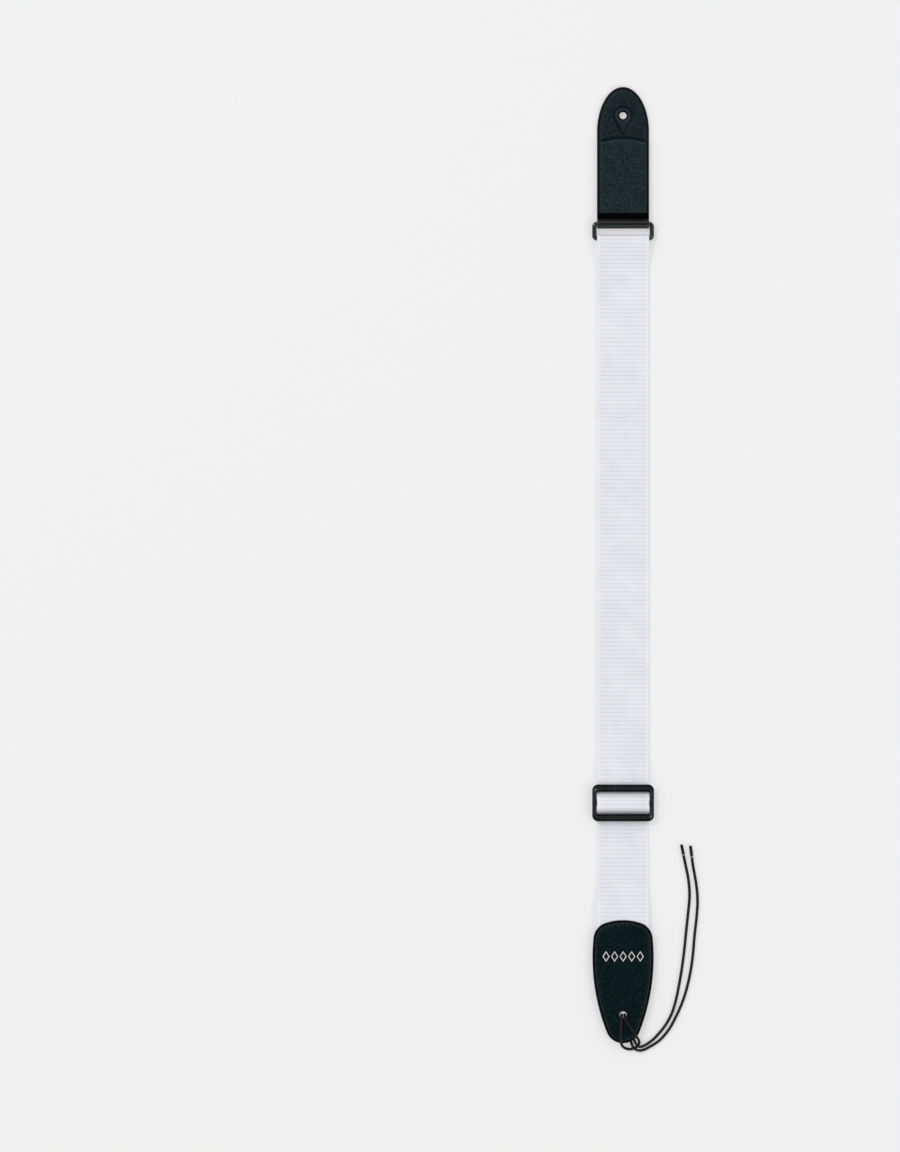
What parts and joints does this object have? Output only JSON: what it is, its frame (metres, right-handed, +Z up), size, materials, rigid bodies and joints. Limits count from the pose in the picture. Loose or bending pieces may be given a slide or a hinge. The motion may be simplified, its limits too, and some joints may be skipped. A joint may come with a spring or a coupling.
{
  "type": "guitar strap",
  "caption": "Adjustable guitar strap of flat webbing with a slider, a ring-hinged padded leather end with a buttonhole, and a leather end with a tie lace.",
  "frame": {"origin": "middle of the strap's length and width, on the surface that it lies on", "axes": "+X across the webbing, +Y along the strap towards the buttonhole end, +Z up from the surface, through the front face"},
  "size_m": [0.1029, 0.9276, 0.011],
  "materials": {
    "webbing": "woven ribs",
    "cover_leather": "satin grain",
    "lining_leather": "matte",
    "board": "bonded leather board",
    "foam": "closed-cell foam",
    "thread": "bonded nylon",
    "webbing_thread": "bonded nylon",
    "ring_metal": "black gloss enamel",
    "slider_plastic": "satin",
    "lace": "waxed cord",
    "lace_tip": "shrunk sleeve"
  },
  "bodies": {
    "bottom_end": {"bottom_tab_front": "cover_leather", "bottom_tab_back": "lining_leather", "bottom_tab_core": "board", "bottom_tab_thread": "thread", "webbing_tail": "webbing", "webbing_lower": "webbing", "lace_bight": "lace", "lace_inner": "lace", "lace_outer": "lace", "lace_tip_inner": "lace_tip", "lace_tip_outer": "lace_tip"},
    "slider": {"slider_frame": "slider_plastic", "webbing_over_bar": "webbing", "webbing_sewn_end": "webbing", "sewn_end_thread": "webbing_thread"},
    "upper_webbing": {"webbing_front_run": "webbing", "webbing_back_run": "webbing", "webbing_ring_fold": "webbing"},
    "ring_link": {"ring": "ring_metal"},
    "top_tab": {"top_tab_front": "cover_leather", "top_tab_lining": "lining_leather", "top_tab_pad": "foam", "top_tab_tip_board": "board", "ring_loop_leather": "cover_leather", "edge_thread": "thread", "cross_seam_thread": "thread", "keyhole_thread": "thread", "base_seam_thread": "thread"}
  },
  "joints": [
    {"name": "slider_slide", "type": "slide", "parent": "bottom_end", "child": "slider", "axis": [0, 1, 0], "range_m": [0, 0.9], "deforming": ["webbing_lower"]},
    {"name": "webbing_feed", "type": "slide", "parent": "slider", "child": "upper_webbing", "axis": [0, 1, 0], "range_m": [-0.45, 0], "deforming": ["webbing_front_run", "webbing_back_run"]},
    {"name": "ring_swing", "type": "hinge", "parent": "upper_webbing", "child": "ring_link", "pos_m": [0, 0.3138, 0.0047], "axis": [1, 0, 0], "range_deg": [-90, 90]},
    {"name": "tab_swing", "type": "hinge", "parent": "ring_link", "child": "top_tab", "pos_m": [0, 0.3278, 0.0047], "axis": [1, 0, 0], "range_deg": [-90, 90]}
  ],
  "couplings": [
    {"joint": "webbing_feed", "follows": "slider_slide", "ratio": -0.5}
  ]
}
